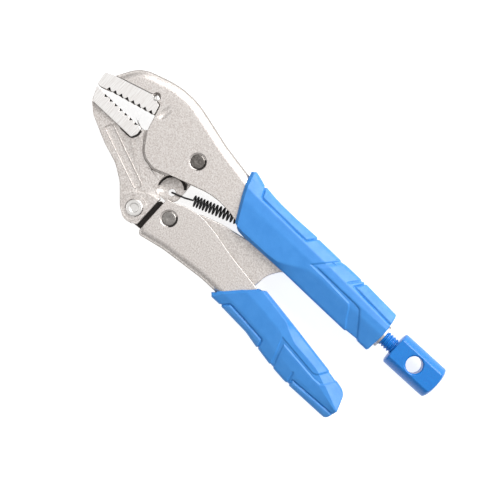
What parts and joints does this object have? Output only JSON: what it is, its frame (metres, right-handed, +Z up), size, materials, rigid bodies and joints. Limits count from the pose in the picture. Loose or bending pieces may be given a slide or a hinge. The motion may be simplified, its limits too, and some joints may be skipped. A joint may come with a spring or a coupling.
{
  "type": "locking pliers",
  "caption": "Locking pliers with straight serrated jaws, a humped stamped handle, over-centre toggle lever, tension spring, adjusting screw with a drilled knob and moulded grips.",
  "frame": {"origin": "bottom centre of the tool's box, with the tool lying on its side", "axes": "+X along the adjusting screw towards its knob, +Y towards the back of the upper handle, +Z up out of the side of the tool, which is the axis of every pivot"},
  "size_m": [0.2498, 0.0816, 0.0215],
  "materials": {
    "plated_steel": "satin nickel plate",
    "forged_steel": "plated forging with ground faces",
    "rivet_steel": "dark machined steel",
    "spring_steel": "black oiled spring wire",
    "grip": "satin blue moulding with textured pads",
    "screw_paint": "satin blue paint"
  },
  "bodies": {
    "upper_handle": {"handle_channel": "plated_steel", "fixed_jaw": "forged_steel", "upper_grip": "grip", "jaw_pivot_rivet": "rivet_steel", "jaw_spring": "spring_steel"},
    "moving_jaw": {"moving_jaw": "forged_steel", "lever_rivet": "forged_steel"},
    "lever": {"lever_channel": "plated_steel", "link_rivet": "rivet_steel", "lower_grip": "grip"},
    "toggle_link": {"toggle_link": "plated_steel"},
    "screw_carrier": {"screw_stop_ring": "spring_steel"},
    "adjusting_screw": {"adjusting_screw": "screw_paint"}
  },
  "joints": [
    {"name": "jaw_pivot", "type": "hinge", "parent": "upper_handle", "child": "moving_jaw", "pos_m": [-0.05452, 0.01644, 0.01075], "axis": [0, 0, 1], "range_deg": [0, 5.8], "deforming": ["jaw_spring"]},
    {"name": "lever_pivot", "type": "hinge", "parent": "moving_jaw", "child": "lever", "pos_m": [-0.06342, -0.02556, 0.01075], "axis": [0, 0, -1], "range_deg": [0, 40]},
    {"name": "link_pivot", "type": "hinge", "parent": "lever", "child": "toggle_link", "pos_m": [-0.04532, -0.01716, 0.01075], "axis": [0, 0, 1], "range_deg": [0, 43.1]},
    {"name": "screw_travel", "type": "slide", "parent": "upper_handle", "child": "screw_carrier", "axis": [1, 0, 0], "range_m": [0, 0.025]},
    {"name": "screw_turn", "type": "hinge", "parent": "screw_carrier", "child": "adjusting_screw", "pos_m": [0.06548, 0.01384, 0.01075], "axis": [1, 0, 0], "range_deg": [0, 5010]}
  ],
  "couplings": [
    {"joint": "jaw_pivot", "follows": "lever_pivot", "ratio": 0.144},
    {"joint": "link_pivot", "follows": "lever_pivot", "ratio": 1.075},
    {"joint": "screw_turn", "follows": "screw_travel", "rad_per_m": 3490.7}
  ]
}
